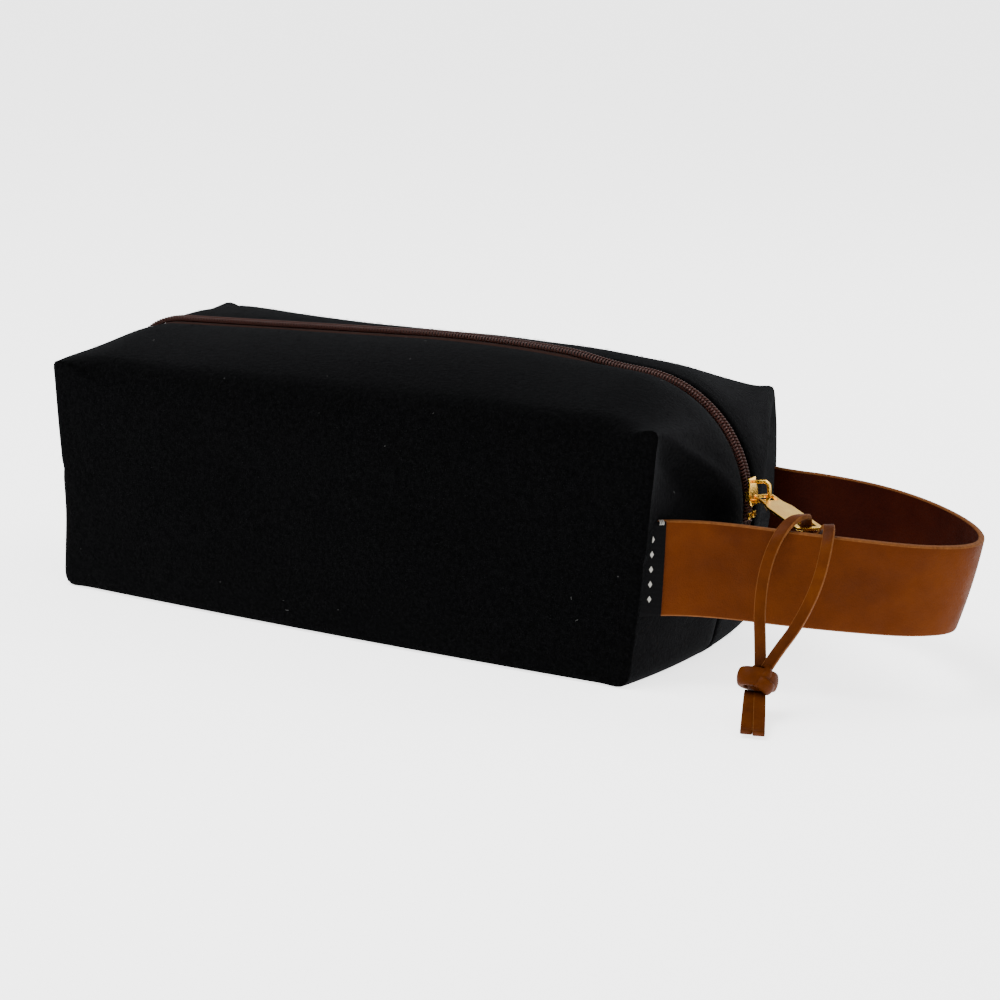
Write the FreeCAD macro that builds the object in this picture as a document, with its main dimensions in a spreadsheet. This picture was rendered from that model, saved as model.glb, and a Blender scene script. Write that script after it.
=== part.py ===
"""Zipped felt pouch with a leather carry strap, in millimetres.

The row frame has its origin at the centre of the flat base. +X runs along the pouch towards the
end that carries the strap and the closed slider, -Y is the labelled side and +Z is up.
"""
import FreeCAD, Part
import math
import os

os.makedirs("parts", exist_ok=True)
doc = FreeCAD.newDocument("pouch")
Vec = FreeCAD.Vector

# ---------------------------------------------------------------- driving dimensions

DIMENSIONS = {
    "pouch_length": 264.0,
    "pouch_depth": 126.0,
    "ear_height": 100.0,
    "felt": 3.0,
    "tape_thickness": 0.6,
    "lining": 0.8,
    "slot_half_width": 6.5,
    "lining_slot_half_width": 9.0,
    "tape_half_width": 15.0,
    "end_seam_height": 50.0,
    "end_reach": 152.0,
    "left_reach": 146.0,
    "bend_radius": 52.0,
    "left_bend_radius": 28.0,
    "coil_half_width": 3.0,
    "coil_gap_half": 0.8,
    "coil_height": 2.5,
    "running_clearance": 0.4,
    "slider_length": 11.0,
    "slider_width": 8.6,
    "slider_tail_width": 6.4,
    "slider_plate": 1.0,
    "slider_angle": 9.0,
    "bridge_height": 7.2,
    "bridge_length": 9.0,
    "bridge_wire": 1.2,
    "bridge_width": 1.6,
    "tab_length": 42.0,
    "tab_width": 11.0,
    "tab_neck_width": 8.4,
    "tab_thickness": 1.2,
    "tab_rail": 2.0,
    "tab_slot_length": 6.4,
    "tab_yaw": 41.8,
    "tab_dip": 4.5,
    "strap_width": 38.0,
    "strap_thickness": 2.4,
    "strap_root_height": 48.0,
    "strap_droop": 3.0,
    "label_reach": 10.5,
    "label_thickness": 0.8,
    "lace_diameter": 3.2,
    "knot_length": 15.0,
    "knot_width": 11.0,
    "tail_length": 26.0,
    "tail_width": 9.6,
    "tail_thickness": 2.2,
    "thread": 0.5,
}

sheet = doc.addObject("Spreadsheet::Sheet", "dims")
for row, (word, value) in enumerate(DIMENSIONS.items(), start=1):
    sheet.set("A%d" % row, word)
    sheet.set("B%d" % row, str(value))
    sheet.setAlias("B%d" % row, word)
doc.recompute()


def dim(word):
    """One driving dimension, read from the sheet."""
    return float(getattr(sheet, word))


NODES = []


def keep(obj, label):
    """Give an object its node name and put it on the list of nodes to write."""
    obj.Label = label
    NODES.append(obj)
    return obj


def feature(label, shape, placement=None):
    """A node whose shape comes from Part's own functions."""
    obj = doc.addObject("Part::Feature", label)
    obj.Shape = shape
    if placement is not None:
        obj.Placement = placement
    return keep(obj, label)


# ---------------------------------------------------------------- soft shell of the pouch

SIDE_CORNER = 3.0
CORNER_SMALL = 10.0
SEAM_ROUND = 60.0
CROWN_ROUND = 600.0
BASE_CUT = 1.0


def round_corner(before, corner, after, radius):
    """The tangent points and middle point of an arc that rounds one corner."""
    to_before = (before - corner).normalize()
    to_after = (after - corner).normalize()
    half_angle = to_before.getAngle(to_after) / 2.0
    reach = radius / math.tan(half_angle)
    towards = (to_before + to_after).normalize()
    centre = corner + towards * (radius / math.sin(half_angle))
    return (corner + to_before * reach, centre - towards * radius, corner + to_after * reach, centre)


def rounded_polygon(corners, radii):
    """A closed wire of straight sides and tangent arcs, and the centres of its arcs."""
    arcs = []
    for index, corner in enumerate(corners):
        before = corners[index - 1]
        after = corners[(index + 1) % len(corners)]
        arcs.append(round_corner(before, corner, after, radii[index]))
    edges = []
    for index, (start, middle, stop, _) in enumerate(arcs):
        edges.append(Part.Arc(start, middle, stop).toShape())
        edges.append(Part.LineSegment(stop, arcs[(index + 1) % len(arcs)][0]).toShape())
    return Part.Wire(edges), [arc[3] for arc in arcs]


def inset_polygon(corners, inset):
    """The same polygon with every side moved inwards by the inset (corners run anticlockwise in XZ)."""
    moved = []
    for index, corner in enumerate(corners):
        before = (corner - corners[index - 1]).normalize()
        after = (corners[(index + 1) % len(corners)] - corner).normalize()
        normal_before = Vec(-before.z, 0, before.x)
        normal_after = Vec(-after.z, 0, after.x)
        bisector = normal_before + normal_after
        moved.append(corner + bisector * (inset * 2.0 / bisector.dot(bisector)))
    return moved


def side_corners(y):
    """Outline of the flat side walls: a near rectangle whose upper corners are the ears."""
    half = dim("pouch_length") / 2.0
    height = dim("ear_height")
    seam = dim("end_seam_height")
    points = [(-half + 1, -BASE_CUT), (half - 2, -BASE_CUT), (half - 1.4, seam), (half + 0.6, height),
              (15, height - 1.0), (-half - 1.0, height), (-half + 1.0, seam)]
    radii = [SIDE_CORNER, SIDE_CORNER, SEAM_ROUND, SIDE_CORNER, CROWN_ROUND, SIDE_CORNER, SEAM_ROUND]
    return [Vec(x, y, z) for x, z in points], radii


def middle_corners(y):
    """Outline on the zipper plane: full ends, a big bend at the slider end and a low crown."""
    reach = dim("end_reach")
    left = dim("left_reach")
    seam = dim("end_seam_height")
    points = [(-left + 11, -BASE_CUT), (reach - 14, -BASE_CUT), (reach, seam), (reach, 111.0),
              (35, 117.2), (-left, 107.4), (-left, seam)]
    radii = [CORNER_SMALL, CORNER_SMALL, SEAM_ROUND, dim("bend_radius"), CROWN_ROUND,
             dim("left_bend_radius"), SEAM_ROUND]
    return [Vec(x, y, z) for x, z in points], radii


def outline(make_corners, y, inset):
    """One rounded outline, moved inwards by the inset."""
    corners, radii = make_corners(y)
    smaller = []
    for radius in radii:
        smaller.append(max(radius - inset, 0.4))
    return rounded_polygon(inset_polygon(corners, inset), smaller)


def pouch_solid(inset):
    """The closed soft form of the pouch, moved inwards by the inset and cut flat underneath."""
    half_depth = dim("pouch_depth") / 2.0 - inset
    wires = []
    for make_corners, y in ((side_corners, -half_depth), (middle_corners, 0.0), (side_corners, half_depth)):
        wires.append(outline(make_corners, y, inset)[0])
    solid = Part.makeLoft(wires, True, False)
    floor = Part.makeBox(400, 200, 20, Vec(-200, -100, inset - 20))
    return solid.cut(floor)


BEND_CENTRE = outline(middle_corners, 0.0, 0.0)[1][3]

felt = dim("felt")
tape_inner = felt + dim("tape_thickness")
lining_inner = tape_inner + dim("lining")
outer_form = pouch_solid(0.0)
felt_inner_form = pouch_solid(felt)
tape_inner_form = pouch_solid(tape_inner)
lining_inner_form = pouch_solid(lining_inner)


def block(x_low, x_high, y_low, y_high, z_low, z_high):
    """A box between two corners."""
    size = (x_high - x_low, y_high - y_low, z_high - z_low)
    return Part.makeBox(size[0], size[1], size[2], Vec(x_low, y_low, z_low))


def half_space(side):
    """Everything on the front (-1) or back (+1) side of the zipper plane."""
    if side < 0:
        return block(-200, 300, -100, 0, -50, 200)
    return block(-200, 300, 0, 100, -50, 200)


def zipper_band(side, y_near, y_far, z_low):
    """The part of space above a height and between two distances from the zipper plane."""
    if side < 0:
        return block(-200, 200, -y_far, -y_near, z_low, 200)
    return block(-200, 200, y_near, y_far, z_low, 200)


# ---------------------------------------------------------------- carry strap

STRAP_PLAN = [(129.8, -61.2), (141, -50.5), (160, -42.5), (184, -38), (208, -31.5), (231, -23),
              (245, -8), (243.5, 9), (231, 28), (210, 46), (186, 57.5), (161, 60.5), (143.5, 58), (129.8, 61.2)]


def rounded_route(points):
    """A wire of straight runs joined by tangent arcs, each as large as its two runs allow."""
    edges = []
    radii = []
    last = points[0]
    for before, corner, after in zip(points, points[1:], points[2:]):
        shorter = min((corner - before).Length, (after - corner).Length)
        turn = (corner - before).getAngle(after - corner)
        radius = 0.45 * shorter / math.tan(turn / 2.0)
        start, middle, stop, _ = round_corner(before, corner, after, radius)
        edges.append(Part.LineSegment(last, start).toShape())
        edges.append(Part.Arc(start, middle, stop).toShape())
        radii.append(radius)
        last = stop
    edges.append(Part.LineSegment(last, points[-1]).toShape())
    return Part.Wire(edges), radii


def strap_points():
    """The strap's centre line: it leaves both corner seams level and droops towards its turn."""
    far = max(x for x, _ in STRAP_PLAN)
    root = STRAP_PLAN[0][0]
    points = []
    for x, y in STRAP_PLAN:
        share = (x - root) / (far - root)
        points.append(Vec(x, y, dim("strap_root_height") - dim("strap_droop") * share * share))
    return points


def swept_band(wire, thickness, width):
    """A flat band that stands on edge along a wire."""
    start = wire.Edges[0].firstVertex().Point
    tangent = wire.Edges[0].tangentAt(wire.Edges[0].FirstParameter)
    across = Vec(-tangent.y, tangent.x, 0).normalize() * (thickness / 2.0)
    up = Vec(0, 0, width / 2.0)
    corners = [start - across - up, start + across - up, start + across + up, start - across + up]
    profile = Part.makePolygon(corners + [corners[0]])
    pipe = Part.BRepOffsetAPI.MakePipeShell(wire)
    pipe.setBiNormalMode(Vec(0, 0, 1))
    pipe.add(profile)
    pipe.build()
    pipe.makeSolid()
    return pipe.shape()


strap_wire, strap_radii = rounded_route(strap_points())
strap_shape = swept_band(strap_wire, dim("strap_thickness"), dim("strap_width"))

label_gap = 0.1


def label_solid():
    """The folded woven label: a short band sewn into the seam, lying on the strap's outer face."""
    root, next_point = strap_points()[:2]
    along = (next_point - root).normalize()
    outward = Vec(along.y, -along.x, 0).normalize()
    offset = dim("strap_thickness") / 2.0 + label_gap
    start = root + outward * offset
    thick = dim("label_thickness")
    low = dim("strap_root_height") - dim("strap_width") / 2.0
    base = Vec(start.x, start.y, low)
    corners = [base, base + along * dim("label_reach"), base + along * dim("label_reach") + outward * thick,
               base + outward * thick]
    for corner in corners:
        corner.z = low
    face = Part.Face(Part.makePolygon(corners + [corners[0]]))
    return face.extrude(Vec(0, 0, dim("strap_width")))


label_shape = label_solid()

# ---------------------------------------------------------------- felt, lining and zipper tapes

felt_shell = outer_form.cut(felt_inner_form)
felt_shell = felt_shell.cut(block(-200, 200, -dim("slot_half_width"), dim("slot_half_width"),
                                  dim("end_seam_height"), 200))
felt_shell = felt_shell.cut(strap_shape).cut(label_shape)
lining_shell = tape_inner_form.cut(lining_inner_form)
lining_shell = lining_shell.cut(block(-200, 200, -dim("lining_slot_half_width"), dim("lining_slot_half_width"),
                                      dim("end_seam_height"), 200))
tape_shell = felt_inner_form.cut(tape_inner_form)
coil_top_form = pouch_solid(felt - dim("coil_height"))
coil_shell = coil_top_form.cut(felt_inner_form)
SEAM_TOP = dim("end_seam_height") + 0.5
COIL_START = dim("end_seam_height") + 6.0

for side, name in ((-1, "front"), (1, "back")):
    feature("outer_%s_panel" % name, felt_shell.common(half_space(side)))
    feature("lining_%s" % name, lining_shell.common(half_space(side)))
    tape_band = zipper_band(side, dim("coil_gap_half"), dim("tape_half_width"), SEAM_TOP)
    feature("zipper_tape_%s" % name, tape_shell.common(tape_band))
    coil_band = zipper_band(side, dim("coil_gap_half"), dim("coil_half_width"), COIL_START)
    feature("zipper_coil_%s" % name, coil_shell.common(coil_band))

feature("carry_strap", strap_shape)
feature("woven_label", label_shape)

# ---------------------------------------------------------------- sewing thread

thread = dim("thread")
ZIPPER_SEAM_FROM = 11.0
felt_thread_layer = felt_inner_form.cut(pouch_solid(felt + thread))
lining_thread_layer = lining_inner_form.cut(pouch_solid(lining_inner + thread))
for side, name in ((-1, "front"), (1, "back")):
    seam_band = zipper_band(side, ZIPPER_SEAM_FROM, ZIPPER_SEAM_FROM + thread, SEAM_TOP)
    feature("zipper_thread_%s" % name, lining_thread_layer.common(seam_band))

seam_level = dim("end_seam_height") - 1.0
end_band = block(-200, 200, -52, 52, seam_level - thread, seam_level)
middle_of_pouch = block(-110, 110, -60, 60, 0, 100)
feature("end_seam_thread", felt_thread_layer.common(end_band).cut(middle_of_pouch))
base_band = block(-110, 110, -thread / 2.0, thread / 2.0, 0, 10)
feature("base_seam_thread", felt_thread_layer.common(base_band))

CORNER_SEAM_LOW = 8.0
CORNER_SEAM_INSET = 6.5
corner_threads = []
for x_side in (-1, 1):
    for y_side in (-1, 1):
        x_spot = x_side * (dim("pouch_length") / 2.0 - CORNER_SEAM_INSET) - thread / 2.0
        y_spot = y_side * (dim("pouch_depth") / 2.0 - felt - thread / 2.0) - thread / 2.0
        corner_threads.append(Part.makeBox(thread, thread, dim("ear_height") - 3 * CORNER_SEAM_LOW,
                                           Vec(x_spot, y_spot, CORNER_SEAM_LOW)))
feature("corner_seam_thread", Part.makeCompound(corner_threads))

# ---------------------------------------------------------------- zipper stops


def radial_placement(angle):
    """Places a shape drawn about the bend's centre at an angle up the bend."""
    return FreeCAD.Placement(BEND_CENTRE, FreeCAD.Rotation(Vec(0, -1, 0), angle))


coil_top_radius = dim("bend_radius") - felt + dim("coil_height")
tape_radius = dim("bend_radius") - felt
STOP_ANGLE = -1.5
STOP_LENGTH = 2.4
STOP_SIDE = 0.5


def top_stop(side):
    """One brass stop crimped over the coil's end."""
    low = dim("coil_gap_half") if side > 0 else -dim("coil_half_width") - STOP_SIDE
    return Part.makeBox(STOP_SIDE * 2, dim("coil_half_width") + STOP_SIDE - dim("coil_gap_half"), STOP_LENGTH,
                        Vec(coil_top_radius, low, -STOP_LENGTH / 2.0))


feature("zipper_top_stops", Part.makeCompound([top_stop(-1), top_stop(1)]), radial_placement(STOP_ANGLE))

# ---------------------------------------------------------------- slider body, bridge and pull tab


def sub_body(label):
    """A PartDesign body for one hard piece."""
    return keep(doc.addObject("PartDesign::Body", label), label)


def origin_plane(body, role):
    """One of the body's own origin planes."""
    for item in body.Origin.OriginFeatures:
        if item.Role == role:
            return item
    raise ValueError(role)


def polygon_sketch(body, role, name, points, offset=0.0, bound_offset=None):
    """A closed polygon sketch on one of the body's planes, moved off it by a bound distance."""
    sketch = body.newObject("Sketcher::SketchObject", name)
    sketch.AttachmentSupport = [(origin_plane(body, role), "")]
    sketch.MapMode = "FlatFace"
    sketch.AttachmentOffset = FreeCAD.Placement(Vec(0, 0, offset), FreeCAD.Rotation())
    if bound_offset:
        sketch.setExpression("AttachmentOffset.Base.z", bound_offset)
    add_polygon(sketch, points)
    return sketch


def add_polygon(sketch, points):
    """Adds one closed loop of straight sides."""
    vectors = [Vec(x, y, 0) for x, y in points]
    for start, stop in zip(vectors, vectors[1:] + vectors[:1]):
        sketch.addGeometry(Part.LineSegment(start, stop), False)


def rectangle(x_low, x_high, y_low, y_high):
    """The four corners of a rectangle."""
    return [(x_low, y_low), (x_high, y_low), (x_high, y_high), (x_low, y_high)]


def pad(body, sketch, name, length_expression, midplane=False):
    """A pad whose length is bound to the sheet."""
    solid = body.newObject("PartDesign::Pad", name)
    solid.Profile = sketch
    solid.setExpression("Length", length_expression)
    solid.Midplane = midplane
    sketch.Visibility = False
    return solid


half_long = dim("slider_length") / 2.0
half_wide = dim("slider_width") / 2.0
half_tail = dim("slider_tail_width") / 2.0
plate_outline = [(-half_wide + 1.2, -half_long), (half_wide - 1.2, -half_long), (half_wide, -half_long + 2.2),
                 (half_wide, 0.5), (half_tail, 3.0), (half_tail, half_long), (-half_tail, half_long),
                 (-half_tail, 3.0), (-half_wide, 0.5), (-half_wide, -half_long + 2.2)]

slider = sub_body("slider_body")
top_offset = "dims.bend_radius - dims.felt + dims.coil_height + dims.running_clearance"
low_offset = ("dims.bend_radius - dims.felt - dims.tape_thickness - 2 * dims.running_clearance"
              " - dims.slider_plate")
pad(slider, polygon_sketch(slider, "YZ_Plane", "top_plate_outline", plate_outline, bound_offset=top_offset),
    "top_plate", "dims.slider_plate")
POST_HALF_WIDTH = 0.45
POST_LOW = -half_long + 0.8
POST_HIGH = POST_LOW + 2.6
pad(slider, polygon_sketch(slider, "YZ_Plane", "post_outline",
                           rectangle(-POST_HALF_WIDTH, POST_HALF_WIDTH, POST_LOW, POST_HIGH),
                           bound_offset=low_offset),
    "post", "dims.coil_height + dims.tape_thickness + 3 * dims.running_clearance + 2 * dims.slider_plate")
pad(slider, polygon_sketch(slider, "YZ_Plane", "under_plate_outline", plate_outline, bound_offset=low_offset),
    "under_plate", "dims.slider_plate")
FLANGE = 0.7
for sign, name in ((-1, "front_flange"), (1, "back_flange")):
    edges = sorted((sign * half_wide, sign * (half_wide - FLANGE)))
    outline_points = rectangle(edges[0], edges[1], -half_long + 2.2, 0.5)
    sketch = polygon_sketch(slider, "YZ_Plane", name + "_outline", outline_points,
                            bound_offset=top_offset + " - 1.2")
    pad(slider, sketch, name, "1.2 + dims.slider_plate")
slider.Placement = radial_placement(dim("slider_angle"))

plate_top = coil_top_radius + dim("running_clearance") + dim("slider_plate")
bridge = sub_body("slider_bridge")
bridge_half = dim("bridge_length") / 2.0
wire_size = dim("bridge_wire")
rise = dim("bridge_height")


def bridge_loop(half, height, corner):
    """One side of the bridge's arch, as points out from the plate."""
    return [(plate_top, -half), (plate_top + height - corner, -half), (plate_top + height, -half + corner),
            (plate_top + height, half - corner), (plate_top + height - corner, half), (plate_top, half)]


arch = bridge_loop(bridge_half, rise, 1.8)
hollow = bridge_loop(bridge_half - wire_size, rise - wire_size, 1.0)
pad(bridge, polygon_sketch(bridge, "XZ_Plane", "arch_outline", arch + hollow[::-1]), "arch",
    "dims.bridge_width", midplane=True)
bridge.Placement = radial_placement(dim("slider_angle"))

HINGE_RISE = 3.6
HINGE_DROP = -1.9
hinge_local = Vec(plate_top + HINGE_RISE, 0, HINGE_DROP)
HINGE = radial_placement(dim("slider_angle")).multVec(hinge_local)

tab_long = dim("tab_length")
tab_half = dim("tab_width") / 2.0
neck_half = dim("tab_neck_width") / 2.0
rail = dim("tab_rail")
EYE_BAR = 0.7
EYE_LENGTH = 6.8
EYE_HALF = 3.3
NECK_END = 9.0
SHOULDER_END = 15.0
CORNER_CUT = 2.0
half_outline = [(-EYE_BAR, neck_half - 1.2), (0.4, neck_half), (NECK_END, neck_half), (SHOULDER_END, tab_half),
                (tab_long - CORNER_CUT, tab_half), (tab_long, tab_half - CORNER_CUT)]
tab_outline = [(x, -y) for x, y in half_outline] + half_outline[::-1]
slot_far = tab_long - rail
slot_near = slot_far - dim("tab_slot_length")
tab = sub_body("pull_tab")
tab_sketch = polygon_sketch(tab, "XY_Plane", "tab_outline", tab_outline, bound_offset="-dims.tab_thickness / 2")
add_polygon(tab_sketch, rectangle(EYE_BAR, EYE_BAR + EYE_LENGTH, -EYE_HALF, EYE_HALF)[::-1])
add_polygon(tab_sketch, rectangle(slot_near, slot_far, -tab_half + rail, tab_half - rail)[::-1])
pad(tab, tab_sketch, "plate", "dims.tab_thickness")
tab_turn = FreeCAD.Rotation(Vec(0, 0, 1), -dim("tab_yaw")).multiply(
    FreeCAD.Rotation(Vec(0, 1, 0), dim("tab_dip")))
tab.Placement = FreeCAD.Placement(HINGE, tab_turn)
RAIL_CENTRE = tab.Placement.multVec(Vec(tab_long - rail / 2.0, 0, 0))
TAB_AXIS = tab_turn.multVec(Vec(0, 1, 0))

# ---------------------------------------------------------------- bottom stop at the far end

bottom_stop_spot = Vec(-dim("left_reach") + felt - dim("coil_height") - 0.8, 0, COIL_START + 2.5)
bottom_stop = doc.addObject("Part::Box", "zipper_bottom_stop")
bottom_stop.setExpression("Width", "2 * dims.coil_half_width + 1")
bottom_stop.Length = 0.8
bottom_stop.Height = 3.5
bottom_stop.Placement = FreeCAD.Placement(bottom_stop_spot - Vec(0, dim("coil_half_width") + 0.5, 0),
                                          FreeCAD.Rotation())
keep(bottom_stop, "zipper_bottom_stop")

# ---------------------------------------------------------------- lace on the pull tab

LACE_LEFT = [(184.3, -25.0, 65.2), (184.5, -25.7, 69.3), (184.8, -31.4, 71.0), (182.8, -37.6, 70.4),
             (180.6, -43.8, 66.0), (178.5, -48.2, 57.4), (177.7, -51.2, 47), (178.8, -54.5, 36),
             (181.6, -58.8, 26.0), (183.6, -62.3, 18.0)]
LACE_RIGHT = [(184.3, -25.0, 65.2), (185.6, -25.2, 61.5), (191.2, -28.4, 62.0), (196.2, -33.2, 69.6),
              (199.2, -40.4, 69.6), (200.2, -45.6, 62), (199.5, -48.8, 52), (197.0, -52, 42),
              (193.4, -55.6, 32.6), (188.9, -59.6, 24.6), (186.0, -62.6, 18.0)]


def tube(points, diameter, label):
    """A round tube along a rounded route; prints its arcs and compares its volume with its length."""
    wire, radii = rounded_route([Vec(*point) for point in points])
    start = wire.Edges[0].firstVertex().Point
    tangent = wire.Edges[0].tangentAt(wire.Edges[0].FirstParameter)
    ring = Part.Wire(Part.Circle(start, tangent, diameter / 2.0).toShape())
    solid = wire.makePipeShell([ring], True, True)
    expected = math.pi * diameter ** 2 / 4.0 * wire.Length
    print(label, "length", round(wire.Length, 1), "radii", [round(radius, 1) for radius in radii],
          "volume ratio", round(solid.Volume / expected, 3))
    return solid


feature("lace_strand_left", tube(LACE_LEFT, dim("lace_diameter"), "lace_strand_left"))
feature("lace_strand_right", tube(LACE_RIGHT, dim("lace_diameter"), "lace_strand_right"))

KNOT_CENTRE = Vec(184.0, -65.0, 14.0)
TAIL_START = Vec(184.4, -68.4, 10.0)
TAIL_END = Vec(193.6, -92.4, 2.0)


def aligned(start, stop):
    """A placement at the start whose X axis points at the stop and whose Y axis stays level."""
    along = (stop - start).normalize()
    level = Vec(0, 0, 1).cross(along).normalize()
    return FreeCAD.Placement(start, FreeCAD.Rotation(along, level, along.cross(level), "XYZ"))


knot = doc.addObject("Part::Ellipsoid", "lace_knot")
knot.setExpression("Radius1", "dims.knot_width / 2")
knot.setExpression("Radius2", "dims.knot_length / 2")
knot.setExpression("Radius3", "dims.knot_width / 2")
knot.Placement = FreeCAD.Placement(KNOT_CENTRE, FreeCAD.Rotation(Vec(0, 0, 1), -22))
keep(knot, "lace_knot")

tails = doc.addObject("Part::Box", "lace_tails")
tails.setExpression("Length", "dims.tail_length")
tails.setExpression("Width", "dims.tail_width")
tails.setExpression("Height", "dims.tail_thickness")
tail_place = aligned(TAIL_START, TAIL_END)
tail_shift = Vec(0, -dim("tail_width") / 2.0, -dim("tail_thickness") / 2.0)
tails.Placement = FreeCAD.Placement(tail_place.multVec(tail_shift), tail_place.Rotation)
keep(tails, "lace_tails")

# ---------------------------------------------------------------- check and write

doc.recompute()
for item in doc.Objects:
    bad = [word for word in item.State if word in ("Invalid", "Error")]
    if bad:
        raise RuntimeError("%s is %s" % (item.Label, bad))
for node in NODES:
    if node.Shape.isNull() or not node.Shape.isValid():
        raise RuntimeError("%s has no valid shape" % node.Label)
    box = node.Shape.BoundBox
    print("%-20s solids %d volume %.1f box %.1f %.1f %.1f to %.1f %.1f %.1f" % (
        node.Label, len(node.Shape.Solids), node.Shape.Volume,
        box.XMin, box.YMin, box.ZMin, box.XMax, box.YMax, box.ZMax))
for node in NODES:
    node.Shape.exportStep("parts/%s.step" % node.Label)
print("bend centre", BEND_CENTRE, "hinge", HINGE, "tab axis", TAB_AXIS, "rail centre", RAIL_CENTRE)
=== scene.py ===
import math
import random

import bmesh
import bpy
import numpy as np
from mathutils import Matrix, Vector


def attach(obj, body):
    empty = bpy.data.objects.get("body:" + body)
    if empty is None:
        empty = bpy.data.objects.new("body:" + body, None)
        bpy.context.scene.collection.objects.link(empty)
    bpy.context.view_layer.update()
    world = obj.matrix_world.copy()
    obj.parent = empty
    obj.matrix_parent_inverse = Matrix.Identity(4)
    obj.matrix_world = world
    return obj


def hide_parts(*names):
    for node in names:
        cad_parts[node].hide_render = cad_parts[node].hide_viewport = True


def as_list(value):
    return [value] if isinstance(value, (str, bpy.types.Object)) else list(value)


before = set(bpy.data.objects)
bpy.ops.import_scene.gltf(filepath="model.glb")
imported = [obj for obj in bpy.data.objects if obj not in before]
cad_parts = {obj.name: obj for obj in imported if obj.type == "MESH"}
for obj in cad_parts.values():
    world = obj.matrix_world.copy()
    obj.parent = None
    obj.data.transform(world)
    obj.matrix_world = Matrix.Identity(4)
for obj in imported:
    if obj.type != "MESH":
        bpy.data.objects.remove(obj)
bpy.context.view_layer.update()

MM = 0.001
random.seed(11)


# -------------------- camera and light helpers

CAMERA_AZIMUTH = math.radians(26.04)
CAMERA_ELEVATION = math.radians(13.49)
CAMERA_ROLL = math.radians(2.69)
CAMERA_DISTANCE = 1.232
CAMERA_TARGET = Vector((0.0409, 0.0, 0.0498))
CAMERA_LENS = 107.5


def add_camera():
    """The camera, which looks down at the bag from its slider end with a slight roll."""
    camera = bpy.data.objects.new("camera", bpy.data.cameras.new("camera"))
    bpy.context.scene.collection.objects.link(camera)
    camera.data.lens = CAMERA_LENS
    camera.data.sensor_width = 36.0
    camera.data.clip_start = 0.01
    flat = math.cos(CAMERA_ELEVATION)
    back = Vector((math.sin(CAMERA_AZIMUTH) * flat, -math.cos(CAMERA_AZIMUTH) * flat,
                   math.sin(CAMERA_ELEVATION)))
    right = (-back).cross(Vector((0, 0, 1))).normalized()
    up = right.cross(-back)
    turned_right = right * math.cos(CAMERA_ROLL) + up * math.sin(CAMERA_ROLL)
    turned_up = up * math.cos(CAMERA_ROLL) - right * math.sin(CAMERA_ROLL)
    axes = Matrix((turned_right, turned_up, back)).transposed().to_4x4()
    camera.matrix_world = Matrix.Translation(CAMERA_TARGET + back * CAMERA_DISTANCE) @ axes
    bpy.context.scene.camera = camera


def add_area_light(name, place, target, size, power):
    """A square soft light that looks at a point."""
    light = bpy.data.lights.new(name, "AREA")
    light.size = size
    light.energy = power
    holder = bpy.data.objects.new(name, light)
    bpy.context.scene.collection.objects.link(holder)
    holder.location = place
    holder.rotation_euler = (Vector(target) - Vector(place)).to_track_quat("-Z", "Y").to_euler()


def link(obj):
    """Puts a new object in the scene."""
    bpy.context.scene.collection.objects.link(obj)
    return obj


add_camera()


# -------------------- material helpers


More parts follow.
